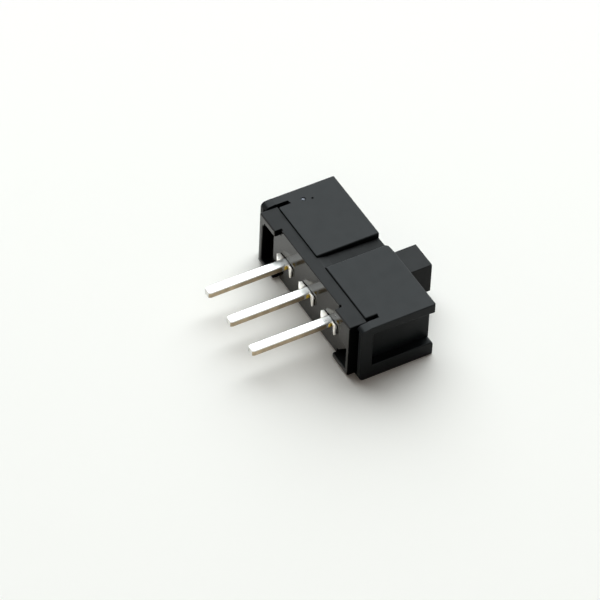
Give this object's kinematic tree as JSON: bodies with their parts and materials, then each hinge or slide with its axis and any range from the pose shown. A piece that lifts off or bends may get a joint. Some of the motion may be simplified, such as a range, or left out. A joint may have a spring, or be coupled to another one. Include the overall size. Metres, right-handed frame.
{
  "type": "miniature slide switch",
  "caption": "Small black plastic slide switch with a sliding knob on one face and a row of flat metal through-hole terminals on the other, lying on its long side.",
  "frame": {"origin": "centre of the middle terminal's leg, in the plane where the feet meet the circuit board", "axes": "+X along the slide, +Y from the board towards the knob, +Z across the thickness, out of the upper long side as the switch lies"},
  "size_m": [0.0116, 0.0119, 0.004],
  "materials": {
    "housing_plastic": "moulded nylon, charcoal black, satin",
    "base_plastic": "moulded nylon, black, smooth",
    "slider_plastic": "moulded acetal, black, satin",
    "terminal_metal": "brass with bright tin plate, bare brass where sheared",
    "contact_metal": "phosphor bronze with thin silver plate",
    "spring_steel": "drawn spring wire"
  },
  "bodies": {
    "body": {"housing": "housing_plastic", "base": "base_plastic", "terminal_1": "terminal_metal", "terminal_2": "terminal_metal", "terminal_3": "terminal_metal"},
    "slide": {"slider": "slider_plastic", "moving_contact": "contact_metal", "contact_spring": "spring_steel"}
  },
  "joints": [
    {"name": "knob_slide", "type": "slide", "parent": "body", "child": "slide", "axis": [1, 0, 0], "range_m": [-0.0026, 0]}
  ]
}
